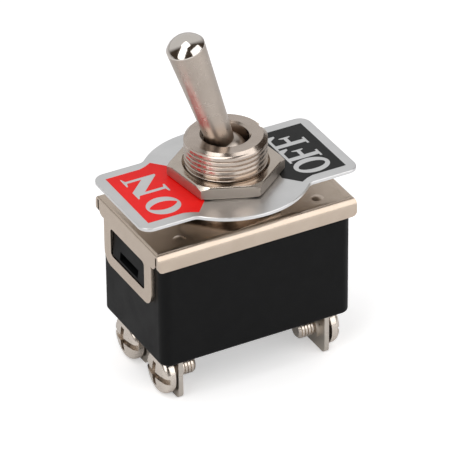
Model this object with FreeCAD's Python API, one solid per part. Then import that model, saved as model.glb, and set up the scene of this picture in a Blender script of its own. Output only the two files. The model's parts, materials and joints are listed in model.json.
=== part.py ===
import FreeCAD, Part
import math
import os

from FreeCAD import Placement, Rotation, Vector

# Panel toggle switch, two poles, on and off, with screw terminals. Sizes in mm.
# The origin is on the bushing's axis, in the plane of the frame's top face.
# The lever swings along X, its ON end is at -X, and +Z runs up the bushing.

# Steel frame, one folded sheet
frame_length = 32.0
frame_width = 19.4
frame_sheet = 0.6
flange_height = 2.9
side_bend_radius = 1.2
end_bend_radius = 0.6
bend_inner_radius = 0.3
corner_slit = 0.4
flange_corner_radius = 0.8
flap_corner_radius = 1.0
leg_width = 14.5
leg_reach = 9.9
leg_corner_radius = 2.0
window_width = 10.4
window_height = 4.6
window_sill = 1.9
window_corner_radius = 0.6
dimple_pitch_x = 22.2
dimple_pitch_y = 13.6
dimple_radius = 0.9
dimple_height = 0.2
dimple_wall = 0.25

# Moulded housing, open at the top
housing_depth = 19.3
housing_side_inset = 0.2
housing_wall = 1.5
housing_floor = 1.8
housing_corner_radius = 1.5
housing_edge_radius = 0.5
housing_clearance = 0.05
shoulder_gap = 0.25
partition_thickness = 1.2
partition_gap = 1.2
catch_proud = 0.5
catch_clearance = 0.15
catch_slot_width = 5.6
catch_slot_height = 1.3
catch_slot_depth = 1.2
catch_slot_rise = 0.35

# Threaded bushing
thread_diameter = 12.0
thread_engagement = 0.25
bushing_height = 10.4
bushing_edge_chamfer = 0.6
bushing_mouth_diameter = 6.8
bushing_mouth_chamfer = 0.3
collar_step = 0.4
collar_height = 1.0
shank_step = 0.4
shank_clearance = 0.05
stake_step = 0.8
stake_thickness = 0.6
keyway_width = 1.7
keyway_depth = 0.8
bushing_base_wall = 0.8

# Hexagon nuts, toothed washer and name plate on the bushing
nut_wall = 1.3
panel_nut_thickness = 2.0
panel_nut_turn = -23.0
back_nut_thickness = 1.9
back_nut_turn = 12.0
nut_clearance = 0.02
nut_mouth_step = 0.3
nut_crown_step = 0.35
nut_crown_angle = 30.0
nut_edge_radius = 0.3
nut_seat_angle = 14.0
washer_thickness = 0.55
washer_step = 1.1
washer_ring_width = 1.0
washer_teeth = 12
washer_tooth_width = 0.9
plate_thickness = 0.5
plate_length = 34.8
plate_tab_width = 16.4
plate_disc_diameter = 24.5
plate_corner_radius = 1.8
plate_neck_radius = 1.6
plate_hole_clearance = 0.1
plate_edge_radius = 0.12

# Lever and its pivot pin
pivot_height = 7.1
lever_swing = 17.9
ball_diameter = 6.6
ball_clearance = 0.08
bat_neck_diameter = 3.6
bat_root_diameter = 4.0
bat_end_diameter = 5.6
bat_root_height = 3.0
bat_length = 20.2
bat_dome_height = 1.65
bat_dome_middle_radius = 1.75
bat_dome_middle_height = 1.11
bat_edge_radius = 0.15
stem_diameter = 3.2
stem_clearance = 0.02
pin_diameter = 1.5
pin_length = 8.6
pin_clearance = 0.05

# Insulating carriage on the lever's foot, with a sprung plunger for each pole
pole_wall_gap = 0.35
carriage_drop = 10.6
carriage_length = 6.0
carriage_side_gap = 0.65
carriage_height = 6.4
carriage_corner_radius = 0.8
socket_depth = 4.0
plunger_diameter = 2.4
plunger_clearance = 0.05
plunger_bore_depth = 5.0
plunger_guide = 2.4
plunger_mid_gap = 1.1
plunger_stroke = 0.8
spring_wire = 0.3
spring_turns = 5
spring_side_gap = 0.08
spring_end_gap = 0.03

# Rocking contacts
rocker_swing = 9.0
rocker_wing_angle = 24.0
rocker_sheet = 0.7
rocker_width = 4.4
rocker_heel_radius = 0.9
rocker_underside_offset = 0.45
rocker_wing_reach = 7.0
rocker_arm_reach = 10.2
rocker_arm_drop = 0.55
rocker_contact_reach = 9.0
contact_diameter = 2.8
contact_height = 0.6
contact_dome = 0.2
contact_gap = 0.1
rest_gap = 0.05
ledge_margin = 0.3

# Terminals and their conductors
terminal_wall_gap = 1.5
terminal_sheet = 0.75
terminal_width = 6.4
terminal_below_housing = 6.9
terminal_corner_radius = 0.8
terminal_slot_clearance = 0.05
collar_boss_diameter = 4.0
collar_boss_height = 0.6
saddle_height = 0.75
saddle_length = 4.4
saddle_width = 4.8
saddle_clearance = 0.05
conductor_width = 3.6
fixed_conductor_end = 7.0

# Terminal screws
screw_diameter = 3.0
screw_length = 4.3
screw_below_housing = 3.5
screw_end_chamfer = 0.35
screw_hole_clearance = 0.03
screw_gap = 0.45
head_diameter = 6.7
head_rim = 0.6
head_height = 1.95
head_crown_diameter = 5.0
head_crown_height = 0.35
slot_width = 0.9
slot_depth = 1.05
cross_length = 3.8
cross_depth = 1.3

# How far a cutting tool runs past the face that it opens
past = 1.0

# Sizes and heights that follow from those above
terminal_drop = housing_depth + terminal_below_housing
screw_drop = housing_depth + screw_below_housing
shank_diameter = thread_diameter - 2 * shank_step
collar_diameter = thread_diameter + 2 * collar_step
stake_diameter = shank_diameter + 2 * stake_step
engaged_thread_diameter = thread_diameter - 2 * thread_engagement
nut_across_flats = thread_diameter + 2 * nut_wall
nut_mouth_diameter = thread_diameter + 2 * nut_mouth_step
nut_crown_diameter = nut_across_flats + 2 * nut_crown_step
washer_diameter = thread_diameter + 2 * washer_step
housing_top = -frame_sheet - housing_clearance
shoulder_height = -flange_height - shoulder_gap
floor_top = -housing_depth + housing_floor
conductor_top = floor_top + terminal_sheet
saddle_top = conductor_top + saddle_height
rocker_axis_height = saddle_top + rocker_heel_radius / 2
rocker_slope = math.tan(math.radians(rocker_wing_angle))
rocker_cosine = math.cos(math.radians(rocker_wing_angle))
rocker_keel = -rocker_underside_offset / rocker_cosine
rocker_valley = (rocker_sheet - rocker_underside_offset) / rocker_cosine
rocker_crest = rocker_wing_reach * rocker_slope + rocker_valley
rocker_arm_base = rocker_crest - rocker_arm_drop - rocker_sheet
back_nut_base = collar_height
washer_base = back_nut_base + back_nut_thickness
plate_base = washer_base + washer_thickness
panel_nut_base = plate_base + plate_thickness
panel_nut_top = panel_nut_base + panel_nut_thickness
housing_half_length = frame_length / 2 - frame_sheet - housing_clearance
housing_half_width = frame_width / 2 - housing_side_inset
terminal_reach = housing_half_length - housing_wall - terminal_wall_gap
rim_half_width = frame_width / 2 - frame_sheet - housing_clearance
cavity_half_width = rim_half_width - housing_wall
pole_spacing = 2 * (cavity_half_width - pole_wall_gap) - rocker_width
carriage_width = 2 * (cavity_half_width - carriage_side_gap)
window_top = -leg_reach + window_sill + window_height
window_base = -leg_reach + window_sill
plunger_reach = pivot_height - rocker_axis_height - rocker_valley - plunger_mid_gap
pole_offsets = {"front": -pole_spacing / 2, "back": pole_spacing / 2}

X_AXIS = Vector(1, 0, 0)
Y_AXIS = Vector(0, 1, 0)
Z_AXIS = Vector(0, 0, 1)


def block(low_x, high_x, low_y, high_y, low_z, high_z):
    corner = Vector(low_x, low_y, low_z)
    return Part.makeBox(high_x - low_x, high_y - low_y, high_z - low_z, corner)


def centred_block(length, width, low_z, high_z):
    return block(-length / 2, length / 2, -width / 2, width / 2, low_z, high_z)


def rod(diameter, base, direction, length):
    return Part.makeCylinder(diameter / 2, length, base, direction)


def turned(points):
    """solid of revolution about Z from (radius, height) points"""
    corners = [Vector(radius, 0, height) for radius, height in points]
    face = Part.Face(Part.makePolygon(corners + corners[:1]))
    return face.revolve(Vector(), Z_AXIS, 360)


def prism(points, direction):
    """straight solid from a closed outline of points"""
    return Part.Face(Part.makePolygon(points + points[:1])).extrude(direction)


def edges_along(shape, axis):
    """straight edges that run along an axis"""
    found = []
    for edge in shape.Edges:
        if edge.Curve.TypeId != "Part::GeomLine":
            continue
        if abs(abs(edge.tangentAt(edge.FirstParameter).dot(axis)) - 1) < 1e-6:
            found.append(edge)
    return found


def round_edges(shape, axis, radius, chosen):
    """fillets the edges along an axis whose middle point is chosen"""
    edges = [edge for edge in edges_along(shape, axis) if chosen(edge.CenterOfMass)]
    return shape.makeFillet(radius, edges)


def turn_about(shape, centre, axis, angle):
    turned_shape = shape.copy()
    turned_shape.rotate(centre, axis, angle)
    return turned_shape


def mirrored_in_x(shape):
    return shape.mirror(Vector(), X_AXIS)


def single(shape):
    """the one solid of a result, with its seams merged"""
    solids = shape.removeSplitter().Solids
    if len(solids) != 1:
        raise ValueError("expected one solid, found %d" % len(solids))
    return solids[0]


# Frame

def channel(length, half_width, top, base, radius):
    """block along X whose two upper edges are rounded"""
    body = block(-length / 2, length / 2, -half_width, half_width, base, top)
    return round_edges(body, X_AXIS, radius, lambda middle: middle.z > top - radius / 2)


def bent_cap(half_length, half_width, top, base, side_radius, end_radius):
    """block with its long and short upper edges rounded by different radii"""
    along = channel(2 * half_length, half_width, top, base, side_radius)
    across = channel(2 * half_width, half_length, top, base, end_radius)
    return along.common(turn_about(across, Vector(), Z_AXIS, 90))


def end_flap():
    """outline of the end flap, the leg below it and the window, at +X"""
    outer_x = frame_length / 2
    inner_x = outer_x - frame_sheet
    flap_half = frame_width / 2 - frame_sheet - corner_slit
    flap = block(inner_x, outer_x, -flap_half, flap_half, -flange_height, -end_bend_radius)
    flap = round_edges(flap, X_AXIS, flap_corner_radius,
                       lambda middle: middle.z < -flange_height + flap_corner_radius / 2)
    leg = block(inner_x, outer_x, -leg_width / 2, leg_width / 2, -leg_reach, -end_bend_radius)
    leg = round_edges(leg, X_AXIS, leg_corner_radius,
                      lambda middle: middle.z < -leg_reach + leg_corner_radius / 2)
    window = block(inner_x - past, outer_x + past, -window_width / 2, window_width / 2,
                   window_base, window_top)
    window = round_edges(window, X_AXIS, window_corner_radius, lambda middle: True)
    return flap.fuse(leg).cut(window)


def dimples(height, radius, top):
    """four caps of a sphere standing out of the frame's top face"""
    ball_radius = (radius ** 2 + height ** 2) / (2 * height)
    caps = []
    for side_x in (-1, 1):
        for side_y in (-1, 1):
            centre = Vector(side_x * dimple_pitch_x / 2, side_y * dimple_pitch_y / 2,
                            top + height - ball_radius)
            caps.append(Part.makeSphere(ball_radius, centre))
    return caps


def frame():
    half_length = frame_length / 2
    half_width = frame_width / 2
    outer = bent_cap(half_length, half_width, 0, -flange_height, side_bend_radius, end_bend_radius)
    inner = bent_cap(half_length - frame_sheet, half_width - frame_sheet, -frame_sheet,
                     -flange_height - past, side_bend_radius - frame_sheet, bend_inner_radius)
    shell = outer.cut(inner)
    # the end walls of the cap give way to flaps with a slit at each corner
    slit_inner = half_width - frame_sheet - corner_slit
    for side in (-1, 1):
        low_x, high_x = sorted((side * (half_length - frame_sheet), side * (half_length + past)))
        shell = shell.cut(block(low_x, high_x, -half_width + frame_sheet,
                                half_width - frame_sheet, -flange_height - past, -end_bend_radius))
    flap = end_flap()
    shell = shell.fuse([flap, mirrored_in_x(flap)])
    for side in (-1, 1):
        low_y, high_y = sorted((side * slit_inner, side * (slit_inner + corner_slit)))
        shell = shell.cut(block(-half_length - past, half_length + past, low_y, high_y,
                                -flange_height - past, -side_bend_radius))
    shell = round_edges(shell, Y_AXIS, flange_corner_radius,
                        lambda middle: abs(middle.x) > half_length - frame_sheet
                        and abs(middle.y) > half_width - frame_sheet
                        and middle.z < -flange_height + frame_sheet)
    sheet_zone = block(-half_length, half_length, -half_width, half_width, -frame_sheet, past)
    for cap in dimples(dimple_height, dimple_radius, 0):
        shell = shell.fuse(cap.common(sheet_zone))
    for cap in dimples(dimple_height, dimple_radius - dimple_wall, -frame_sheet):
        shell = shell.cut(cap)
    hole = rod(shank_diameter + 2 * shank_clearance, Vector(0, 0, -frame_sheet - past), Z_AXIS,
               frame_sheet + 2 * past)
    return single(shell.cut(hole))


# Housing

def catch():
    """wedge that snaps into the leg's window, at +X, with a slot under it"""
    face_x = housing_half_length
    low_z = window_base + catch_clearance
    high_z = window_top - catch_clearance
    half = window_width / 2 - catch_clearance
    outline = [Vector(face_x - housing_wall / 2, -half, low_z),
               Vector(face_x + catch_proud, -half, low_z),
               Vector(face_x, -half, high_z),
               Vector(face_x - housing_wall / 2, -half, high_z)]
    limits = block(face_x - housing_wall, face_x + past, -half, half, low_z, high_z)
    limits = round_edges(limits, X_AXIS, window_corner_radius - catch_clearance,
                         lambda middle: True)
    return prism(outline, Vector(0, 2 * half, 0)).common(limits)


def catch_slot():
    low_z = window_base + catch_clearance + catch_slot_rise
    return block(housing_half_length + catch_proud - catch_slot_depth,
                 housing_half_length + catch_proud + past,
                 -catch_slot_width / 2, catch_slot_width / 2,
                 low_z, low_z + catch_slot_height)


def housing_shell():
    half_length = housing_half_length
    body = block(-half_length, half_length, -housing_half_width, housing_half_width,
                 -housing_depth, shoulder_height)
    body = round_edges(body, Z_AXIS, housing_corner_radius, lambda middle: True)
    under = [edge for edge in body.Edges if edge.BoundBox.ZMax < -housing_depth + 1e-6]
    body = body.makeFillet(housing_edge_radius, under)
    rim = bent_cap(half_length, rim_half_width, housing_top, shoulder_height - past,
                   side_bend_radius - frame_sheet, bend_inner_radius)
    sides = block(-half_length, half_length, -rim_half_width, rim_half_width,
                  shoulder_height - past, housing_top)
    rim = rim.common(round_edges(sides, Z_AXIS, housing_corner_radius, lambda middle: True))
    cavity = block(-half_length + housing_wall, half_length - housing_wall,
                   -cavity_half_width, cavity_half_width, floor_top, 0)
    return body.fuse(rim).cut(cavity)


def partition():
    """low wall between the poles, clear of the carriage's sweep"""
    corner_rise = carriage_length / 2 * math.sin(math.radians(lever_swing))
    top = pivot_height - carriage_drop - carriage_height - corner_rise - partition_gap
    half_length = housing_half_length - housing_wall / 2
    return block(-half_length, half_length, -partition_thickness / 2, partition_thickness / 2,
                 floor_top - housing_floor / 2, top)


def rest_ledges(pole_y):
    """steps of the housing's floor at -X that the rocker's free arm comes down on"""
    swing = math.radians(rocker_swing)
    arm_low = rocker_arm_base * math.cos(swing) - rocker_arm_reach * math.sin(swing)
    top = rocker_axis_height + arm_low - rest_gap
    low_x = -rocker_arm_reach - ledge_margin
    high_x = -rocker_wing_reach - rocker_arm_drop
    base = floor_top - housing_floor / 2
    beside = conductor_width / 2 + housing_clearance
    outer = block(low_x, high_x, beside, rim_half_width - housing_wall / 2 - pole_spacing / 2,
                  base, top)
    inner = block(low_x, high_x, -pole_spacing / 2, -beside, base, top)
    ledges = outer.fuse(inner)
    if pole_y < 0:
        ledges = ledges.mirror(Vector(), Y_AXIS)
    ledges.translate(Vector(0, pole_y, 0))
    return ledges


def strip_slot(side, pole_y):
    gap = terminal_slot_clearance
    low_x, high_x = sorted((side * (terminal_reach + gap),
                            side * (terminal_reach - terminal_sheet - gap)))
    half = terminal_width / 2 + gap
    return block(low_x, high_x, pole_y - half, pole_y + half, -housing_depth - past,
                 conductor_top + gap)


def housing():
    shell = housing_shell().fuse([catch(), mirrored_in_x(catch()), partition()])
    shell = shell.fuse([rest_ledges(pole_y) for pole_y in pole_offsets.values()])
    shell = shell.cut([catch_slot(), mirrored_in_x(catch_slot())])
    slots = [strip_slot(side, pole_y) for side in (-1, 1) for pole_y in pole_offsets.values()]
    return single(shell.cut(slots))


# Bushing and what sits on it

def bushing():
    """threaded sleeve, its crests full size where free and at pitch size inside the nuts"""
    thread = thread_diameter / 2
    engaged = engaged_thread_diameter / 2
    bore = ball_diameter / 2 + ball_clearance
    mouth = bushing_mouth_diameter / 2
    shank = shank_diameter / 2
    base = -frame_sheet - stake_thickness
    swing_room = shank - bushing_base_wall
    outline = [(mouth + bushing_mouth_chamfer, bushing_height),
               (thread - bushing_edge_chamfer, bushing_height),
               (thread, bushing_height - bushing_edge_chamfer),
               (thread, panel_nut_top),
               (engaged, panel_nut_top),
               (engaged, panel_nut_base),
               (thread, panel_nut_base),
               (thread, washer_base),
               (engaged, washer_base),
               (engaged, collar_height),
               (collar_diameter / 2, collar_height),
               (collar_diameter / 2, 0),
               (shank, 0),
               (shank, -frame_sheet),
               (stake_diameter / 2, -frame_sheet),
               (stake_diameter / 2, base),
               (swing_room, base),
               (bore, pivot_height - ball_diameter / 2),
               (bore, bushing_height - 2 * bushing_mouth_chamfer),
               (mouth, bushing_height - bushing_mouth_chamfer)]
    body = turned(outline)
    keyway = block(thread - keyway_depth, thread + past, -keyway_width / 2, keyway_width / 2,
                   collar_height, bushing_height + past)
    # two grooves inside, open below, take the ends of the pivot pin
    groove_half = pin_diameter / 2 + pin_clearance
    groove_reach = pin_length / 2 + 2 * pin_clearance
    groove = block(-groove_half, groove_half, -groove_reach, groove_reach, base - past,
                   pivot_height)
    groove_end = rod(2 * groove_half, Vector(0, -groove_reach, pivot_height), Y_AXIS,
                     2 * groove_reach)
    return single(body.cut([keyway, groove, groove_end]))


def hexagon(across_flats, thickness, base):
    corner = across_flats / math.sqrt(3)
    points = []
    for step in range(6):
        angle = math.radians(60 * step)
        points.append(Vector(corner * math.cos(angle), corner * math.sin(angle), base))
    return prism(points, Vector(0, 0, thickness))


def nut(thickness, base, turn):
    """hexagon nut with round edges, its corners cut back on the upper face and eased below"""
    corner = nut_across_flats / math.sqrt(3)
    flat = nut_across_flats / 2
    crown = nut_crown_diameter / 2
    fall = (corner - crown) * math.tan(math.radians(nut_crown_angle))
    rise = (corner - flat) * math.tan(math.radians(nut_seat_angle))
    limits = turned([(0, base), (flat, base), (corner, base + rise),
                     (corner, base + thickness - fall), (crown, base + thickness),
                     (0, base + thickness)])
    blank = hexagon(nut_across_flats, thickness, base)
    rims = [edge for edge in blank.Edges if edge.BoundBox.ZLength < 1e-6]
    body = blank.makeFillet(nut_edge_radius, rims).common(limits)
    bore = engaged_thread_diameter / 2 + nut_clearance
    mouth = nut_mouth_diameter / 2
    top = base + thickness
    hole = turned([(0, base - past), (mouth + past, base - past), (bore, base + mouth - bore),
                   (bore, top - mouth + bore), (mouth + past, top + past), (0, top + past)])
    return turn_about(single(body.cut(hole)), Vector(), Z_AXIS, turn)


def toothed_washer():
    outer = washer_diameter / 2
    inner = outer - washer_ring_width
    bore = thread_diameter / 2 + plate_hole_clearance
    ring = rod(washer_diameter, Vector(0, 0, washer_base), Z_AXIS, washer_thickness)
    ring = ring.cut(rod(2 * inner, Vector(0, 0, washer_base), Z_AXIS, washer_thickness))
    teeth = []
    for step in range(washer_teeth):
        tooth = block(bore - past, inner + washer_ring_width / 2, -washer_tooth_width / 2,
                      washer_tooth_width / 2, washer_base, washer_base + washer_thickness)
        teeth.append(turn_about(tooth, Vector(), Z_AXIS, 360 * (step + 0.5) / washer_teeth))
    hole = rod(2 * bore, Vector(0, 0, washer_base), Z_AXIS, washer_thickness)
    return single(ring.fuse(teeth).cut(hole))


def name_plate():
    """disc with a tab at each end and a key in its hole"""
    top = plate_base + plate_thickness
    tabs = centred_block(plate_length, plate_tab_width, plate_base, top)
    tabs = round_edges(tabs, Z_AXIS, plate_corner_radius, lambda middle: True)
    disc = rod(plate_disc_diameter, Vector(0, 0, plate_base), Z_AXIS, plate_thickness)
    body = disc.fuse(tabs).removeSplitter()
    body = round_edges(body, Z_AXIS, plate_neck_radius,
                       lambda middle: math.hypot(middle.x, middle.y) < plate_disc_diameter / 2 + plate_edge_radius)
    rims = [edge for edge in body.Edges
            if edge.BoundBox.ZLength < 1e-6 and edge.BoundBox.ZMax > top - 1e-6]
    body = body.makeFillet(plate_edge_radius, rims)
    hole_radius = thread_diameter / 2 + plate_hole_clearance
    hole = rod(2 * hole_radius, Vector(0, 0, plate_base - past), Z_AXIS,
               plate_thickness + 2 * past)
    key_half = keyway_width / 2 - plate_hole_clearance
    key = block(thread_diameter / 2 - keyway_depth + plate_hole_clearance, hole_radius + past,
                -key_half, key_half, plate_base, top)
    return single(body.cut(hole).fuse(key))


# Lever group, drawn upright about its pivot and then tilted to its rest

def at_rest(shape):
    return turn_about(shape, Vector(0, 0, pivot_height), Y_AXIS, -lever_swing)


def lever():
    ball = Part.makeSphere(ball_diameter / 2)
    root = bat_root_diameter / 2
    end = bat_end_diameter / 2
    neck = bat_neck_diameter / 2
    top = Vector(0, 0, bat_length + bat_dome_height)
    dome_middle = Vector(bat_dome_middle_radius, 0, bat_length + bat_dome_middle_height)
    corners = [Vector(), Vector(neck, 0, 0), Vector(root, 0, bat_root_height),
               Vector(end, 0, bat_length)]
    side = [Part.makeLine(start, stop) for start, stop in zip(corners, corners[1:])]
    side.append(Part.Arc(corners[-1], dome_middle, top).toShape())
    side.append(Part.makeLine(top, Vector()))
    bat = Part.Face(Part.Wire(side)).revolve(Vector(), Z_AXIS, 360)
    rim = [edge for edge in bat.Edges if abs(edge.BoundBox.ZMax - bat_length) < 1e-4
           and edge.BoundBox.ZLength < 1e-4]
    bat = bat.makeFillet(bat_edge_radius, rim)
    stem = rod(stem_diameter, Vector(), -Z_AXIS, carriage_drop + socket_depth)
    body = ball.fuse([bat, stem])
    cross_hole = rod(pin_diameter + 2 * stem_clearance, Vector(0, -ball_diameter, 0), Y_AXIS,
                     2 * ball_diameter)
    body = single(body.cut(cross_hole))
    body.translate(Vector(0, 0, pivot_height))
    return at_rest(body)


def pivot_pin():
    start = Vector(0, -pin_length / 2, pivot_height)
    return rod(pin_diameter, start, Y_AXIS, pin_length)


def carriage():
    top = pivot_height - carriage_drop
    base = top - carriage_height
    body = centred_block(carriage_length, carriage_width, base, top)
    body = round_edges(body, Z_AXIS, carriage_corner_radius, lambda middle: True)
    holes = [rod(stem_diameter + 2 * stem_clearance, Vector(0, 0, top), -Z_AXIS, socket_depth)]
    for pole_y in pole_offsets.values():
        holes.append(rod(plunger_diameter + 2 * plunger_clearance, Vector(0, pole_y, base),
                         Z_AXIS, plunger_bore_depth))
    return at_rest(single(body.cut(holes)))


def plunger_top():
    return pivot_height - carriage_drop - carriage_height + plunger_guide


def plunger(pole_y):
    tip = pivot_height - plunger_reach
    radius = plunger_diameter / 2
    centre = Vector(0, pole_y, tip + radius)
    shaft = Part.makeCylinder(radius, plunger_top() - centre.z, centre, Z_AXIS)
    return at_rest(single(shaft.fuse(Part.makeSphere(radius, centre))))


def plunger_spring(pole_y):
    ceiling = pivot_height - carriage_drop - carriage_height + plunger_bore_depth
    low = plunger_top() + spring_wire / 2 + spring_end_gap
    high = ceiling - spring_wire / 2 - spring_end_gap
    coil_radius = plunger_diameter / 2 + plunger_clearance - spring_side_gap - spring_wire / 2
    height = high - low
    helix = Part.makeLongHelix(height / spring_turns, height, coil_radius)
    slope = Vector(0, coil_radius * 2 * math.pi, height / spring_turns)
    section = Part.Wire(Part.makeCircle(spring_wire / 2, Vector(coil_radius, 0, 0), slope))
    coil = Part.Wire(helix.Edges).makePipeShell([section], True, True)
    coil.translate(Vector(0, pole_y, low))
    return at_rest(coil)


# Rocking contacts, drawn level and then tipped to the closed side

def tipped(shape, pole_y):
    return turn_about(shape, Vector(0, pole_y, rocker_axis_height), Y_AXIS, rocker_swing)


def rocker_half(pole_y):
    """one wing and its outer arm, at +X, as a bent strip"""
    low_y = pole_y - rocker_width / 2
    bend_x = (rocker_arm_base - rocker_keel) / rocker_slope
    crown_x = rocker_wing_reach + rocker_arm_drop
    points = [(0, rocker_keel), (bend_x, rocker_arm_base), (rocker_arm_reach, rocker_arm_base),
              (rocker_arm_reach, rocker_arm_base + rocker_sheet),
              (crown_x, rocker_arm_base + rocker_sheet),
              (rocker_wing_reach, rocker_crest), (0, rocker_valley)]
    outline = [Vector(x, low_y, rocker_axis_height + z) for x, z in points]
    return prism(outline, Vector(0, rocker_width, 0))


def rocker(pole_y):
    """bent strip with a round heel rib, on the axis it rocks about"""
    low_y = pole_y - rocker_width / 2
    half = rocker_half(pole_y)
    heel = rod(2 * rocker_heel_radius, Vector(0, low_y, rocker_axis_height), Y_AXIS, rocker_width)
    under = block(-rocker_heel_radius, rocker_heel_radius, low_y, low_y + rocker_width,
                  rocker_axis_height - rocker_heel_radius, rocker_axis_height)
    strip = half.fuse([mirrored_in_x(half), heel.common(under)])
    return tipped(single(strip), pole_y)


def contact_button(x, pole_y, seat, way):
    """low rivet head with a domed face; way is +1 facing up and -1 facing down"""
    radius = contact_diameter / 2
    base = Vector(x, pole_y, seat)
    body = Part.makeCylinder(radius, contact_height, base, Vector(0, 0, way))
    ball_radius = (radius ** 2 + contact_dome ** 2) / (2 * contact_dome)
    centre = Vector(x, pole_y, seat + way * (contact_height + contact_dome - ball_radius))
    zone = Part.makeCylinder(radius, contact_height + contact_dome, base, Vector(0, 0, way))
    return single(body.fuse(Part.makeSphere(ball_radius, centre).common(zone)))


def moving_contact(pole_y):
    seat = rocker_axis_height + rocker_arm_base
    return tipped(contact_button(rocker_contact_reach, pole_y, seat, -1), pole_y)


def fixed_contact_place():
    """x and seat height of the fixed contact under the tipped moving one"""
    swing = math.radians(rocker_swing)
    drop = contact_height + contact_dome - rocker_arm_base
    x = rocker_contact_reach * math.cos(swing) - drop * math.sin(swing)
    z = rocker_axis_height - drop * math.cos(swing) - rocker_contact_reach * math.sin(swing)
    return x, z - contact_gap


def fixed_contact(pole_y):
    """rivet head on the fixed conductor, as tall as the closed rocker needs"""
    x, top = fixed_contact_place()
    radius = contact_diameter / 2
    stud = Part.makeCylinder(radius, top - contact_dome - conductor_top,
                             Vector(x, pole_y, conductor_top), Z_AXIS)
    ball_radius = (radius ** 2 + contact_dome ** 2) / (2 * contact_dome)
    cap = Part.makeSphere(ball_radius, Vector(x, pole_y, top - ball_radius))
    zone = Part.makeCylinder(radius, top - conductor_top, Vector(x, pole_y, conductor_top), Z_AXIS)
    return single(stud.fuse(cap.common(zone)))


# Terminals and screws, drawn at +X

def terminal_strip(pole_y):
    """upright strip with its drawn and threaded screw hole"""
    inner = terminal_reach - terminal_sheet
    strip = block(inner, terminal_reach, pole_y - terminal_width / 2,
                  pole_y + terminal_width / 2, -terminal_drop, conductor_top)
    strip = round_edges(strip, X_AXIS, terminal_corner_radius,
                        lambda middle: middle.z < -terminal_drop + terminal_corner_radius / 2)
    boss = rod(collar_boss_diameter, Vector(inner, pole_y, -screw_drop), -X_AXIS,
               collar_boss_height)
    hole = rod(screw_diameter + 2 * screw_hole_clearance,
               Vector(0, pole_y, -screw_drop), X_AXIS, terminal_reach + past)
    return strip.fuse(boss).cut(hole)


def conductor(pole_y, inner_end):
    return block(inner_end, terminal_reach, pole_y - conductor_width / 2,
                 pole_y + conductor_width / 2, floor_top, conductor_top)


def fixed_terminal(pole_y):
    return single(terminal_strip(pole_y).fuse(conductor(pole_y, fixed_conductor_end)))


def common_terminal(pole_y):
    """strip and floor conductor at -X, with the saddle that carries the rocker"""
    body = mirrored_in_x(terminal_strip(pole_y).fuse(conductor(pole_y, -saddle_length / 2)))
    saddle = block(-saddle_length / 2, saddle_length / 2, pole_y - saddle_width / 2,
                   pole_y + saddle_width / 2, floor_top, saddle_top)
    groove = rod(2 * (rocker_heel_radius + saddle_clearance),
                 Vector(0, pole_y - terminal_width, rocker_axis_height), Y_AXIS,
                 2 * terminal_width)
    return single(body.fuse(saddle).cut(groove))


def screw_profile():
    """half section of the screw about Z, its head's underside at the origin"""
    radius = head_diameter / 2
    crown = head_crown_diameter / 2
    shoulder_top = head_height - head_crown_height
    inset = radius - crown
    rise = shoulder_top - head_rim
    shoulder = (inset ** 2 + rise ** 2) / (2 * inset)
    half_turn = math.atan2(rise, shoulder - inset) / 2
    shoulder_middle = Vector(radius - shoulder * (1 - math.cos(half_turn)), 0,
                             head_rim + shoulder * math.sin(half_turn))
    ball = (crown ** 2 + head_crown_height ** 2) / (2 * head_crown_height)
    ball_turn = math.asin(crown / ball) / 2
    crown_middle = Vector(ball * math.sin(ball_turn), 0,
                          head_height - ball * (1 - math.cos(ball_turn)))
    corners = [Vector(0, 0, head_height), Vector(0, 0, -screw_length),
               Vector(screw_diameter / 2 - screw_end_chamfer, 0, -screw_length),
               Vector(screw_diameter / 2, 0, -screw_length + screw_end_chamfer),
               Vector(screw_diameter / 2, 0, 0), Vector(radius, 0, 0),
               Vector(radius, 0, head_rim)]
    side = [Part.makeLine(start, end) for start, end in zip(corners, corners[1:])]
    seam = Vector(crown, 0, shoulder_top)
    side.append(Part.Arc(corners[-1], shoulder_middle, seam).toShape())
    side.append(Part.Arc(seam, crown_middle, corners[0]).toShape())
    return Part.Face(Part.Wire(side))


def terminal_screw(pole_y):
    """binding screw with a slot and a short cross arm, threaded towards -X"""
    body = screw_profile().revolve(Vector(), Z_AXIS, 360)
    half_slot = slot_width / 2
    slot = block(-half_slot, half_slot, -head_diameter, head_diameter,
                 head_height - slot_depth, head_height + past)
    cross = block(-cross_length / 2, cross_length / 2, -half_slot, half_slot,
                  head_height - cross_depth, head_height + past)
    body = single(body.cut([slot, cross]))
    seat = terminal_reach + screw_gap
    body.Placement = Placement(Vector(seat, pole_y, -screw_drop), Rotation(Y_AXIS, 90))
    return body


def export(name, shape):
    if not shape.isValid() or shape.Volume <= 0:
        raise ValueError(name + " is not a sound solid")
    shape.exportStep("parts/" + name + ".step")


def main():
    os.makedirs("parts", exist_ok=True)
    export("frame", frame())
    export("housing", housing())
    export("bushing", bushing())
    export("back_nut", nut(back_nut_thickness, back_nut_base, back_nut_turn))
    export("toothed_washer", toothed_washer())
    export("name_plate", name_plate())
    export("panel_nut", nut(panel_nut_thickness, panel_nut_base, panel_nut_turn))
    export("lever", lever())
    export("pivot_pin", pivot_pin())
    export("carriage", carriage())
    for pole, pole_y in pole_offsets.items():
        export("plunger_" + pole, plunger(pole_y))
        export("plunger_spring_" + pole, plunger_spring(pole_y))
        export("rocker_" + pole, rocker(pole_y))
        export("moving_contact_" + pole, moving_contact(pole_y))
        export("fixed_contact_" + pole, fixed_contact(pole_y))
        export("common_terminal_" + pole, common_terminal(pole_y))
        export("fixed_terminal_" + pole, fixed_terminal(pole_y))
        screw = terminal_screw(pole_y)
        export("fixed_terminal_screw_" + pole, screw)
        export("common_terminal_screw_" + pole, mirrored_in_x(screw))


main()
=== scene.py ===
import json
import math

import bmesh
import bpy
from mathutils import Matrix, Vector

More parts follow.
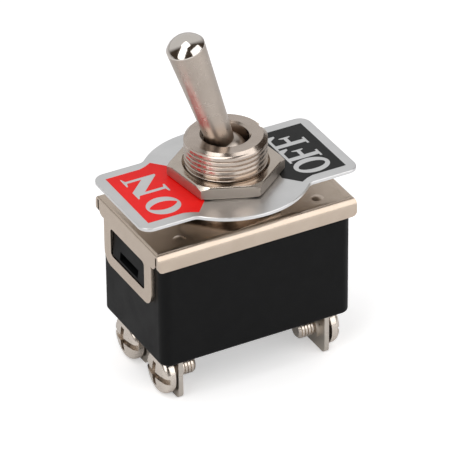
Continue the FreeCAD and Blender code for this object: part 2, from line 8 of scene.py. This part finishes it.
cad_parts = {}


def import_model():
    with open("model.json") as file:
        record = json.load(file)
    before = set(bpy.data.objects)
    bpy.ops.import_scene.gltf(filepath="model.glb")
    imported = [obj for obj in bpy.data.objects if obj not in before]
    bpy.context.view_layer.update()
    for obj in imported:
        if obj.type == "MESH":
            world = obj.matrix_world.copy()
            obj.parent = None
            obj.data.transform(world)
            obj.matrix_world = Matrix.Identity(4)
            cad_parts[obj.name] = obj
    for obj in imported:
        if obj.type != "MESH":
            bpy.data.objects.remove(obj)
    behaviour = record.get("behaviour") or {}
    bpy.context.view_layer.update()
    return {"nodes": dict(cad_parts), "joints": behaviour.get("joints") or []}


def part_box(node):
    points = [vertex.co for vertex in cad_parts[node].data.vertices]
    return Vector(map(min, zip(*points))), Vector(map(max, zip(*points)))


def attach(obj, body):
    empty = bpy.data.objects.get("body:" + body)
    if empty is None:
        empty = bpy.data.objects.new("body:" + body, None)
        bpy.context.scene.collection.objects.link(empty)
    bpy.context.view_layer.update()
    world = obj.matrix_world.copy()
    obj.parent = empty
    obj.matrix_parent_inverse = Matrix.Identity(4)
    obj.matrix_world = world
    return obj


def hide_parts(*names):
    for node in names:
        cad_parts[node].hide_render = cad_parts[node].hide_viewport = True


# Panel toggle switch: plated steel frame and bushing, black housing, lever, name plate with its
# ON and OFF fields, screw terminals. Lengths are in metres, in the part's own frame, unless a
# comment says mm.

MM = 0.001
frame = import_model()
NODES = frame["nodes"]
JOINTS = {joint["name"]: joint for joint in frame["joints"]}
POLES = ("front", "back")
SCREWS = [kind + "_terminal_screw_" + pole for kind in ("common", "fixed") for pole in POLES]
TERMINALS = [kind + "_terminal_" + pole for kind in ("common", "fixed") for pole in POLES]

# Places read from the frame
PLATE_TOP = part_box("name_plate")[1].z
NUT_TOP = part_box("panel_nut")[1].z
BUSHING_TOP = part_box("bushing")[1].z
FLOOR_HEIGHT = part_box("common_terminal_front")[0].z
PIVOT = Vector(JOINTS["lever_swing"]["pos_m"])
LEVER_AXIS = Vector(JOINTS["plunger_slide_front"]["axis"]).normalized()

# Rounding of the edges, in mm
EASED_NODES = {"frame": 0.08, "housing": 0.12, "name_plate": 0.08, "panel_nut": 0.06, "back_nut": 0.06,
               "bushing": 0.18}
FASTENING_EASE = 0.08
EASE_SEGMENTS = 2
EASED_NODES.update(dict.fromkeys(TERMINALS + SCREWS, FASTENING_EASE))

# Angles between faces, in degrees: merged as flat, rounded as an edge, shaded as an edge
FLAT_ANGLE = 0.3
EDGE_ANGLE = 28
SHADED_EDGE_ANGLE = 32

# Screw threads: radius over the crests, pitch, depth and steps to a turn. The bushing's thread runs
# from under the nut's top to past the bushing's own end, the screws' between two distances from the
# part's middle.
BUSHING_THREAD_RADIUS = 6.0 * MM
BUSHING_PITCH = 0.75 * MM
BUSHING_THREAD_DEPTH = 0.24 * MM
BUSHING_THREAD_STEPS = 96
THREAD_UNDER_NUT = 0.2 * MM
THREAD_OVER_TOP = 0.3 * MM
SCREW_THREAD_RADIUS = 1.5 * MM
SCREW_PITCH = 0.5 * MM
SCREW_THREAD_DEPTH = 0.22 * MM
SCREW_THREAD_STEPS = 40
SCREW_THREAD_START = 8.5 * MM
SCREW_THREAD_END = 11.5 * MM

# Section of a thread's groove: half widths as shares of the pitch, overrun as a share of the depth
GROOVE_MOUTH = 0.32
GROOVE_ROOT = 0.05
GROOVE_OVERRUN = 0.35

# Printed fields of the name plate: thickness in metres, and the corners of a field's upper half in
# mm from the plate's middle, with the sag of its swept edge
PRINT_THICKNESS = 0.02 * MM
FIELD_OUTER = 15.85
FIELD_HALF = 6.6
FIELD_BEND = 10.4
FIELD_SWEEP = 0.12
FIELD_TIP = (8.3, 7.5)
FIELD_INNER = (6.2, 5.2)
FIELD_UNDER_NUT = (6.6, 3.0)
WELD_DISTANCE = 0.0001 * MM

# Letters, in mm along the reading direction and up the letters. Round forms have their centre and
# half sizes, the others their lower left corner, width and height.
ON_O_OUTSIDE = (-3.53, 11.87, 2.28, 2.56)
ON_O_INSIDE = (-3.5, 11.85, 0.97, 2.2)
ON_N = (-0.45, 9.1, 5.85, 5.1)
OFF_O_OUTSIDE = (-4.16, -11.66, 1.97, 2.78)
OFF_O_INSIDE = (-4.2, -11.66, 0.95, 2.1)
OFF_FIRST_F = (-2.5, -14.4, 3.9, 5.3)
OFF_SECOND_F = (1.35, -14.4, 3.9, 5.3)

# Surface detail: noise in features per metre, height of the finest one in metres
METAL_TONE = 350
METAL_GLOSS = 900
METAL_GRAIN = 9000
LEVER_TONE = 300
LEVER_GLOSS = 1200
LEVER_GRAIN = 6000
METAL_GRAIN_HEIGHT = 0.02 * MM
PLASTIC_TONE = 500
PLASTIC_GLOSS = 260
PLASTIC_GRAIN = 7000
PLASTIC_GRAIN_HEIGHT = 0.03 * MM
INK_TONE = 700
INK_GLOSS = 1500
INK_GRAIN = 5000
INK_GRAIN_HEIGHT = 0.02 * MM

# Lever: satin bat up to a distance from the pivot, polished crown from a little further on
BAT_TONES = ((0.52, 0.455, 0.40), (0.46, 0.40, 0.35))
CROWN_COLOUR = (0.74, 0.69, 0.64)
BAT_ROUGH = (0.26, 0.32)
CROWN_ROUGH = 0.11
SATIN_END = 20.0 * MM
POLISH_START = 20.1 * MM

# Nuts: bright faces and duller drawn flats, parted by how far the surface looks up or down
FACE_TONES = ((0.62, 0.55, 0.48), (0.57, 0.50, 0.43))
FLAT_TONES = ((0.58, 0.515, 0.455), (0.52, 0.46, 0.405))
FACE_ROUGH = (0.15, 0.22)
FLAT_ROUGH = (0.38, 0.48)
FLAT_UPTURN = 0.08
FACE_UPTURN = 0.4

# Room that the metal reflects: pale behind and above, dark on the side of the camera
PALE_SIDE = Vector((0.10, 0.78, 0.62))
ROOM_PALE = (0.67, 0.67, 0.67)
ROOM_DARK = (0.055, 0.041, 0.031)
DARK_UNTIL = 0.45
PALE_FROM = 0.65

# Floor, with the glow that the camera and a reflection see on top of its own colour
FLOOR_COLOUR = (0.86, 0.86, 0.865)
FLOOR_ROUGH = 0.9
FLOOR_REACH = 1.5
FLOOR_SEEN = 0.42
FLOOR_REFLECTED = 0.02

# Camera, fitted to the perspective of the reference view; angles in degrees, lens and sensor in mm
CAMERA_AZIMUTH = -27.98
CAMERA_ELEVATION = 32.55
CAMERA_ROLL = -0.577
CAMERA_DISTANCE = 599.5 * MM
CAMERA_TARGET = Vector((0, 0, -5 * MM))
CAMERA_OFFSET = (-0.0645 * MM, -0.1047 * MM)
CAMERA_LENS = 333.04
CAMERA_SENSOR = 36
CAMERA_CLIP = (0.05, 10)


# Helpers for objects and directions

def placed(name, data):
    item = bpy.data.objects.new(name, data)
    bpy.context.scene.collection.objects.link(item)
    return item


def toward_viewer(azimuth, elevation):
    """unit vector from the part to a viewer at these angles in degrees; azimuth 0 looks along +Y"""
    azimuth, elevation = math.radians(azimuth), math.radians(elevation)
    return Vector((math.sin(azimuth) * math.cos(elevation),
                   -math.cos(azimuth) * math.cos(elevation), math.sin(elevation)))


# Helpers for shader nodes

def new_material(name):
    material = bpy.data.materials.new(name)
    material.use_nodes = True
    tree = material.node_tree
    return material, tree, tree.nodes["Principled BSDF"]


def new_metal(name):
    material, tree, shader = new_material(name)
    shader.inputs["Metallic"].default_value = 1
    return material, tree, shader


def coordinates(tree, kind):
    return tree.nodes.new("ShaderNodeTexCoord").outputs[kind]


def feed(tree, socket, value):
    """links a socket to another node's output, or sets it to a colour or a number"""
    if isinstance(value, bpy.types.NodeSocket):
        tree.links.new(value, socket)
    elif isinstance(value, tuple):
        socket.default_value = (*value, 1)
    else:
        socket.default_value = value


def calculated(tree, operation, *values):
    node = tree.nodes.new("ShaderNodeMath")
    node.operation = operation
    for socket, value in zip(node.inputs, values):
        feed(tree, socket, value)
    return node.outputs["Value"]


def share_along(tree, source, direction):
    """how far a vector reaches in a fixed direction"""
    node = tree.nodes.new("ShaderNodeVectorMath")
    node.operation = "DOT_PRODUCT"
    tree.links.new(source, node.inputs[0])
    node.inputs[1].default_value = direction
    return node.outputs["Value"]


def noise(tree, scale, detail=3, roughness=0.55, stretch=None):
    """noise in the object's own coordinates, its scale in features per metre"""
    node = tree.nodes.new("ShaderNodeTexNoise")
    node.inputs["Scale"].default_value = scale
    node.inputs["Detail"].default_value = detail
    node.inputs["Roughness"].default_value = roughness
    source = coordinates(tree, "Object")
    if stretch is not None:
        mapping = tree.nodes.new("ShaderNodeMapping")
        mapping.inputs["Scale"].default_value = stretch
        tree.links.new(source, mapping.inputs["Vector"])
        source = mapping.outputs["Vector"]
    tree.links.new(source, node.inputs["Vector"])
    return node.outputs["Fac"]


def spread(tree, source, low, high, start=0.3, end=0.7):
    """maps a value from start..end to low..high"""
    node = tree.nodes.new("ShaderNodeMapRange")
    node.inputs["From Min"].default_value = start
    node.inputs["From Max"].default_value = end
    node.inputs["To Min"].default_value = low
    node.inputs["To Max"].default_value = high
    tree.links.new(source, node.inputs["Value"])
    return node.outputs["Result"]


def mixed(tree, factor, first, second, kind="RGBA"):
    """mix of two colours, or of two numbers where kind is VALUE; each is a constant or a link"""
    node = tree.nodes.new("ShaderNodeMix")
    node.data_type = "RGBA" if kind == "RGBA" else "FLOAT"
    tree.links.new(factor, node.inputs["Factor"])
    for name, value in (("A", first), ("B", second)):
        socket = next(item for item in node.inputs if item.name == name and item.type == kind)
        feed(tree, socket, value)
    return next(item for item in node.outputs if item.type == kind)


def toned(tree, scale, tones, detail=3):
    """colour that wanders between two tones"""
    return mixed(tree, spread(tree, noise(tree, scale, detail), 0, 1), *tones)


def bumped(tree, shader, source, height, strength):
    """gives a surface its relief, from a value and the height in metres that 1 stands for"""
    node = tree.nodes.new("ShaderNodeBump")
    node.inputs["Strength"].default_value = strength
    node.inputs["Distance"].default_value = height
    tree.links.new(source, node.inputs["Height"])
    tree.links.new(node.outputs["Normal"], shader.inputs["Normal"])


# Materials

def plated(name, tones, rough, grain=(1, 1, 1), grain_strength=0.025):
    """plated or bare metal: faint tone changes, patchy gloss and fine rolling or turning marks"""
    material, tree, shader = new_metal(name)
    tree.links.new(toned(tree, METAL_TONE, tones), shader.inputs["Base Color"])
    tree.links.new(spread(tree, noise(tree, METAL_GLOSS, detail=4), *rough), shader.inputs["Roughness"])
    marks = noise(tree, METAL_GRAIN, detail=2, roughness=0.6, stretch=grain)
    bumped(tree, shader, marks, METAL_GRAIN_HEIGHT, grain_strength)
    return material


def lever_material():
    """satin bat with a polished crown, split at the crown's edge along the lever's own axis"""
    material, tree, shader = new_metal("lever_nickel")
    reach = share_along(tree, coordinates(tree, "Object"), LEVER_AXIS)
    pivot = PIVOT.dot(LEVER_AXIS)
    crown = spread(tree, reach, 0, 1, pivot + SATIN_END, pivot + POLISH_START)
    bat = toned(tree, LEVER_TONE, BAT_TONES)
    tree.links.new(mixed(tree, crown, bat, CROWN_COLOUR), shader.inputs["Base Color"])
    satin = spread(tree, noise(tree, LEVER_GLOSS, detail=4), *BAT_ROUGH)
    tree.links.new(mixed(tree, crown, satin, CROWN_ROUGH, "VALUE"), shader.inputs["Roughness"])
    marks = noise(tree, LEVER_GRAIN, detail=2, roughness=0.6)
    bumped(tree, shader, marks, METAL_GRAIN_HEIGHT, strength=0.01)
    return material


def nut_material():
    """bright crown and faces, duller drawn flats round the sides"""
    material, tree, shader = new_metal("nut_nickel")
    upturn = calculated(tree, "ABSOLUTE", share_along(tree, coordinates(tree, "Normal"), (0, 0, 1)))
    face = spread(tree, upturn, 0, 1, FLAT_UPTURN, FACE_UPTURN)
    colour = mixed(tree, face, toned(tree, METAL_TONE, FLAT_TONES), toned(tree, METAL_TONE, FACE_TONES))
    tree.links.new(colour, shader.inputs["Base Color"])
    patches = noise(tree, METAL_GLOSS, detail=4)
    rough = mixed(tree, face, spread(tree, patches, *FLAT_ROUGH), spread(tree, patches, *FACE_ROUGH),
                  "VALUE")
    tree.links.new(rough, shader.inputs["Roughness"])
    marks = noise(tree, METAL_GRAIN, detail=2, roughness=0.6, stretch=(1, 1, 0.2))
    bumped(tree, shader, marks, METAL_GRAIN_HEIGHT, strength=0.03)
    return material


def moulded(name, tones, rough, specular=0.3):
    """moulded plastic: slight tone change, uneven gloss and a fine eroded texture"""
    material, tree, shader = new_material(name)
    tree.links.new(toned(tree, PLASTIC_TONE, tones, detail=4), shader.inputs["Base Color"])
    patches = noise(tree, PLASTIC_GLOSS, detail=4)
    tree.links.new(spread(tree, patches, *rough), shader.inputs["Roughness"])
    shader.inputs["Specular IOR Level"].default_value = specular
    texture = noise(tree, PLASTIC_GRAIN, roughness=0.6)
    bumped(tree, shader, texture, PLASTIC_GRAIN_HEIGHT, strength=0.12)
    return material


def printed(name, tones, rough):
    """screen-printed ink under lacquer"""
    material, tree, shader = new_material(name)
    tree.links.new(toned(tree, INK_TONE, tones, detail=4), shader.inputs["Base Color"])
    tree.links.new(spread(tree, noise(tree, INK_GLOSS), *rough), shader.inputs["Roughness"])
    shader.inputs["Specular IOR Level"].default_value = 0.22
    bumped(tree, shader, noise(tree, INK_GRAIN), INK_GRAIN_HEIGHT, strength=0.06)
    return material


MATERIALS = {
    "frame": plated("frame_nickel", tones=((0.63, 0.53, 0.44), (0.59, 0.49, 0.40)),
                    rough=(0.20, 0.26), grain=(1, 6, 6)),
    "bushing": plated("bushing_nickel", tones=((0.60, 0.52, 0.455), (0.54, 0.46, 0.40)),
                      rough=(0.16, 0.26)),
    "nut": nut_material(),
    "screw": plated("screw_nickel", tones=((0.76, 0.69, 0.62), (0.70, 0.63, 0.56)),
                    rough=(0.20, 0.30)),
    "terminal": plated("terminal_nickel", tones=((0.66, 0.61, 0.55), (0.61, 0.56, 0.50)),
                       rough=(0.26, 0.36)),
    "lever": lever_material(),
    "plate": plated("plate_aluminium", tones=((0.79, 0.79, 0.79), (0.74, 0.74, 0.74)),
                    rough=(0.28, 0.35), grain=(1, 8, 1), grain_strength=0.04),
    "housing": moulded("housing_black", tones=((0.0035, 0.0037, 0.0040), (0.005, 0.0052, 0.0056)),
                       rough=(0.42, 0.52), specular=0.12),
    "insulator": moulded("insulator_brown", tones=((0.10, 0.035, 0.015), (0.07, 0.025, 0.012)),
                         rough=(0.4, 0.5)),
    "steel": plated("plain_steel", tones=((0.50, 0.50, 0.50), (0.44, 0.44, 0.44)),
                    rough=(0.25, 0.35)),
    "copper": plated("contact_copper", tones=((0.72, 0.38, 0.24), (0.62, 0.32, 0.20)),
                     rough=(0.25, 0.38)),
    "silver": plated("contact_silver", tones=((0.80, 0.79, 0.76), (0.72, 0.71, 0.68)),
                     rough=(0.2, 0.3)),
    "red": printed("print_red", tones=((0.86, 0.009, 0.007), (0.80, 0.007, 0.006)),
                   rough=(0.3, 0.4)),
    "black": printed("print_black", tones=((0.008, 0.0082, 0.008), (0.011, 0.0112, 0.011)),
                     rough=(0.32, 0.42)),
}
NODE_MATERIAL = {
    "frame": "frame", "housing": "housing", "bushing": "bushing", "back_nut": "nut",
    "toothed_washer": "frame", "name_plate": "plate", "panel_nut": "nut", "lever": "lever",
    "pivot_pin": "steel", "carriage": "insulator",
}
for pole in POLES:
    NODE_MATERIAL["plunger_" + pole] = "steel"
    NODE_MATERIAL["plunger_spring_" + pole] = "steel"
    NODE_MATERIAL["rocker_" + pole] = "copper"
    NODE_MATERIAL["moving_contact_" + pole] = "silver"
    NODE_MATERIAL["fixed_contact_" + pole] = "silver"
NODE_MATERIAL.update(dict.fromkeys(TERMINALS, "terminal"))
NODE_MATERIAL.update(dict.fromkeys(SCREWS, "screw"))


def paint(piece, material_name):
    piece.data.materials.clear()
    piece.data.materials.append(MATERIALS[material_name])


# Finish of the solids' edges and surfaces

def smooth_by_angle(piece):
    for polygon in piece.data.polygons:
        polygon.use_smooth = True
    bpy.context.view_layer.objects.active = piece
    piece.select_set(True)
    bpy.ops.object.shade_smooth_by_angle(angle=math.radians(SHADED_EDGE_ANGLE))
    piece.select_set(False)


def ease_edges(piece, width):
    """merges flat triangles, then rounds the sharp edges by a width in mm"""
    flat = piece.modifiers.new("flat", "DECIMATE")
    flat.decimate_type = "DISSOLVE"
    flat.angle_limit = math.radians(FLAT_ANGLE)
    bevel = piece.modifiers.new("ease", "BEVEL")
    bevel.width = width * MM
    bevel.segments = EASE_SEGMENTS
    bevel.limit_method = "ANGLE"
    bevel.angle_limit = math.radians(EDGE_ANGLE)
    bevel.use_clamp_overlap = True


# Screw threads, cut out of a copy of the solid

def thread_cutter(radius, pitch, depth, start, end, steps_per_turn):
    """closed ridge that follows a helix about Z, to be taken out of a shank"""
    mouth = radius + GROOVE_OVERRUN * depth
    root = radius - depth
    profile = ((mouth, -GROOVE_MOUTH * pitch), (root, -GROOVE_ROOT * pitch),
               (root, GROOVE_ROOT * pitch), (mouth, GROOVE_MOUTH * pitch))
    up = Vector((0, 0, 1))
    mesh = bmesh.new()
    rings = []
    for step in range(int((end - start) / pitch * steps_per_turn) + 1):
        angle = 2 * math.pi * step / steps_per_turn
        height = start + pitch * step / steps_per_turn
        out = Vector((math.cos(angle), math.sin(angle), 0))
        rings.append([mesh.verts.new(out * r + up * (height + z)) for r, z in profile])
    for low, high in zip(rings, rings[1:]):
        for i in range(len(profile)):
            j = (i + 1) % len(profile)
            mesh.faces.new((low[i], low[j], high[j], high[i]))
    mesh.faces.new(rings[0][::-1])
    mesh.faces.new(rings[-1])
    bmesh.ops.recalc_face_normals(mesh, faces=mesh.faces)
    data = bpy.data.meshes.new("thread_cutter")
    mesh.to_mesh(data)
    mesh.free()
    return placed("thread_cutter", data)


def threaded_copy(node, cutter, name, body):
    """the node's own solid with a thread cut into it, as a new piece in its place"""
    source = NODES[node]
    cut = source.modifiers.new("thread", "BOOLEAN")
    cut.operation = "DIFFERENCE"
    cut.solver = "EXACT"
    cut.object = cutter
    bpy.context.view_layer.update()
    graph = bpy.context.evaluated_depsgraph_get()
    data = bpy.data.meshes.new_from_object(source.evaluated_get(graph))
    source.modifiers.remove(cut)
    bpy.data.objects.remove(cutter)
    if "custom_normal" in data.attributes:
        data.attributes.remove(data.attributes["custom_normal"])
    piece = placed(name, data)
    paint(piece, NODE_MATERIAL[node])
    smooth_by_angle(piece)
    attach(piece, body)
    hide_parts(node)


def thread_bushing():
    cutter = thread_cutter(BUSHING_THREAD_RADIUS, BUSHING_PITCH, BUSHING_THREAD_DEPTH,
                           NUT_TOP - THREAD_UNDER_NUT, BUSHING_TOP + THREAD_OVER_TOP,
                           BUSHING_THREAD_STEPS)
    threaded_copy("bushing", cutter, "bushing_threaded", "root")


def thread_screws():
    """threads the screws, which lie along X with their heads outwards"""
    for node in SCREWS:
        low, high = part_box(node)
        side = 1 if low.x + high.x > 0 else -1
        cutter = thread_cutter(SCREW_THREAD_RADIUS, SCREW_PITCH, SCREW_THREAD_DEPTH,
                               SCREW_THREAD_START - SCREW_PITCH, SCREW_THREAD_END,
                               SCREW_THREAD_STEPS)
        centre = Vector(JOINTS[node + "_turn"]["pos_m"])
        turn = Matrix.Rotation(side * math.pi / 2, 4, "Y")
        cutter.data.transform(Matrix.Translation((0, centre.y, centre.z)) @ turn)
        threaded_copy(node, cutter, node.replace("screw", "screw_threaded"), node)


# Print on the name plate: two fields with the letters left bare

def ellipse(centre_u, centre_v, half_u, half_v, points=48):
    angles = [2 * math.pi * step / points for step in range(points)]
    return [(centre_u + half_u * math.cos(a), centre_v + half_v * math.sin(a)) for a in angles]


def lens(centre_u, centre_v, half_u, half_v, points=24, sharpness=0.8):
    """almond outline, pointed at the letter's top and foot"""
    right = []
    left = []
    for step in range(points):
        t = -1 + 2 * step / points
        width = half_u * (1 - t * t) ** sharpness
        right.append((centre_u + width, centre_v + half_v * t))
        left.append((centre_u - width, centre_v - half_v * t))
    return right + left


def letter_n(u, v, width, height):
    """thin stems, thick diagonal and pointed serifs; u, v is the lower left corner"""
    outline = [(0.00, 0.00), (0.34, 0.00), (0.34, 0.05), (0.235, 0.09), (0.235, 0.66),
               (0.80, 0.00), (0.865, 0.00), (0.865, 0.91), (1.00, 0.96), (1.00, 1.00),
               (0.62, 1.00), (0.62, 0.96), (0.765, 0.91), (0.765, 0.47), (0.33, 1.00),
               (0.00, 1.00), (0.00, 0.96), (0.125, 0.89), (0.125, 0.09), (0.00, 0.05)]
    return [(u + a * width, v + b * height) for a, b in outline]


def letter_f(u, v, width, height):
    """slab-footed letter with a flag on each arm; u, v is the lower left corner"""
    outline = [(0.00, 0.00), (0.46, 0.00), (0.46, 0.07), (0.35, 0.07), (0.35, 0.43),
               (0.64, 0.43), (0.70, 0.33), (0.76, 0.33), (0.76, 0.67), (0.70, 0.67),
               (0.64, 0.55), (0.35, 0.55), (0.35, 0.91), (0.72, 0.91), (0.90, 0.72),
               (1.00, 0.72), (0.98, 1.00), (0.00, 1.00), (0.00, 0.93), (0.12, 0.93),
               (0.12, 0.07), (0.00, 0.07)]
    return [(u + a * width, v + b * height) for a, b in outline]


def field_outline(side):
    """outline of a printed field in plate coordinates, side is -1 for ON and +1 for OFF"""
    tip_x, tip_y = FIELD_TIP
    upper = [(FIELD_OUTER, FIELD_HALF), (FIELD_BEND, FIELD_HALF),
             ((FIELD_BEND + tip_x) / 2, (FIELD_HALF + tip_y) / 2 - FIELD_SWEEP),
             FIELD_TIP, FIELD_INNER, FIELD_UNDER_NUT]
    lower = [(x, -y) for x, y in reversed(upper)]
    return [(side * x, y) for x, y in upper + lower]


def lettered(outlines):
    """turns letters, drawn with u along the reading direction, so that u is +Y and v is -X"""
    return [[(-v, u) for u, v in outline] for outline in outlines]


def print_field(name, outlines, material_name):
    """flat closed sheet on the plate; an outline inside another is a hole"""
    curve = bpy.data.curves.new(name, "CURVE")
    curve.dimensions = "2D"
    curve.fill_mode = "BOTH"
    curve.extrude = PRINT_THICKNESS / 2
    for outline in outlines:
        spline = curve.splines.new("POLY")
        spline.points.add(len(outline) - 1)
        for point, (x, y) in zip(spline.points, outline):
            point.co = (x * MM, y * MM, 0, 1)
        spline.use_cyclic_u = True
    holder = placed(name + "_curve", curve)
    bpy.context.view_layer.update()
    graph = bpy.context.evaluated_depsgraph_get()
    data = bpy.data.meshes.new_from_object(holder.evaluated_get(graph))
    bpy.data.objects.remove(holder)
    mesh = bmesh.new()
    mesh.from_mesh(data)
    bmesh.ops.remove_doubles(mesh, verts=mesh.verts, dist=WELD_DISTANCE)
    bmesh.ops.recalc_face_normals(mesh, faces=mesh.faces)
    mesh.to_mesh(data)
    mesh.free()
    data.transform(Matrix.Translation((0, 0, PLATE_TOP + PRINT_THICKNESS / 2)))
    piece = placed(name, data)
    paint(piece, material_name)
    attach(piece, "root")


def plate_print():
    on_letters = lettered([ellipse(*ON_O_OUTSIDE), lens(*ON_O_INSIDE), letter_n(*ON_N)])
    print_field("on_field", [field_outline(-1)] + on_letters, "red")
    off_letters = lettered([ellipse(*OFF_O_OUTSIDE), ellipse(*OFF_O_INSIDE),
                            letter_f(*OFF_FIRST_F), letter_f(*OFF_SECOND_F)])
    print_field("off_field", [field_outline(1)] + off_letters, "black")


# Stage

def softbox(name, azimuth, elevation, across, up, radiance, distance=0.7):
    """soft lamp at these angles that looks this wide and high from the part, all in degrees"""
    way = toward_viewer(azimuth, elevation)
    light = bpy.data.lights.new(name, "AREA")
    light.shape = "RECTANGLE"
    light.size = 2 * distance * math.tan(math.radians(across / 2))
    light.size_y = 2 * distance * math.tan(math.radians(up / 2))
    light.energy = radiance * math.pi * light.size * light.size_y
    holder = placed(name, light)
    holder.location = way * distance
    holder.rotation_euler = way.to_track_quat("Z", "Y").to_euler()


def lights():
    softbox("left_softbox", azimuth=-66, elevation=34, across=34, up=54, radiance=2.0)
    softbox("top_softbox", azimuth=-80, elevation=76, across=30, up=30, radiance=2.6)
    softbox("right_softbox", azimuth=30, elevation=30, across=60, up=60, radiance=1.7, distance=0.3)


def floor_material():
    """matt with a faint glow seen from above, clear seen from below"""
    material, tree, shader = new_material("floor")
    shader.inputs["Base Color"].default_value = (*FLOOR_COLOUR, 1)
    shader.inputs["Roughness"].default_value = FLOOR_ROUGH
    shader.inputs["Specular IOR Level"].default_value = 0
    ray = tree.nodes.new("ShaderNodeLightPath").outputs
    seen = calculated(tree, "MULTIPLY", ray["Is Camera Ray"], FLOOR_SEEN)
    glow = tree.nodes.new("ShaderNodeEmission")
    tree.links.new(calculated(tree, "MULTIPLY_ADD", ray["Is Glossy Ray"], FLOOR_REFLECTED, seen),
                   glow.inputs["Strength"])
    upper = tree.nodes.new("ShaderNodeAddShader")
    tree.links.new(shader.outputs[0], upper.inputs[0])
    tree.links.new(glow.outputs[0], upper.inputs[1])
    lower = tree.nodes.new("ShaderNodeBsdfTransparent")
    sides = tree.nodes.new("ShaderNodeMixShader")
    tree.links.new(tree.nodes.new("ShaderNodeNewGeometry").outputs["Backfacing"], sides.inputs[0])
    tree.links.new(upper.outputs[0], sides.inputs[1])
    tree.links.new(lower.outputs[0], sides.inputs[2])
    tree.links.new(sides.outputs[0], tree.nodes["Material Output"].inputs["Surface"])
    return material


def floor():
    mesh = bpy.data.meshes.new("floor")
    corners = [(-1, -1), (1, -1), (1, 1), (-1, 1)]
    mesh.from_pydata([(x * FLOOR_REACH, y * FLOOR_REACH, FLOOR_HEIGHT) for x, y in corners], [],
                     [(0, 1, 2, 3)])
    mesh.materials.append(floor_material())
    plane = placed("floor", mesh)


def world():
    """white to the camera, a soft grey room with a dark side to light and to metal"""
    scene_world = bpy.data.worlds.new("studio")
    bpy.context.scene.world = scene_world
    scene_world.use_nodes = True
    tree = scene_world.node_tree
    toward_pale = share_along(tree, coordinates(tree, "Generated"), PALE_SIDE)
    room = mixed(tree, spread(tree, toward_pale, 0, 1, DARK_UNTIL, PALE_FROM), ROOM_DARK, ROOM_PALE)
    camera_ray = tree.nodes.new("ShaderNodeLightPath").outputs["Is Camera Ray"]
    tree.links.new(mixed(tree, camera_ray, room, (1, 1, 1)), tree.nodes["Background"].inputs["Color"])


def camera():
    back = toward_viewer(CAMERA_AZIMUTH, CAMERA_ELEVATION)
    right = Vector((0, 0, 1)).cross(back).normalized()
    up = back.cross(right)
    roll = math.radians(CAMERA_ROLL)
    right = math.cos(roll) * right + math.sin(roll) * up
    up = back.cross(right)
    data = bpy.data.cameras.new("camera")
    data.lens = CAMERA_LENS
    data.sensor_width = CAMERA_SENSOR
    data.clip_start, data.clip_end = CAMERA_CLIP
    holder = placed("camera", data)
    place = CAMERA_TARGET + back * CAMERA_DISTANCE
    place = place + right * CAMERA_OFFSET[0] + up * CAMERA_OFFSET[1]
    holder.matrix_world = Matrix((
        (right.x, up.x, back.x, place.x),
        (right.y, up.y, back.y, place.y),
        (right.z, up.z, back.z, place.z),
        (0, 0, 0, 1)))
    bpy.context.scene.camera = holder


def main():
    for node, material_name in NODE_MATERIAL.items():
        paint(NODES[node], material_name)
    for node, width in EASED_NODES.items():
        ease_edges(NODES[node], width)
    thread_bushing()
    thread_screws()
    plate_print()
    floor()
    world()
    lights()
    camera()
    bpy.context.scene.view_settings.view_transform = "Standard"


main()
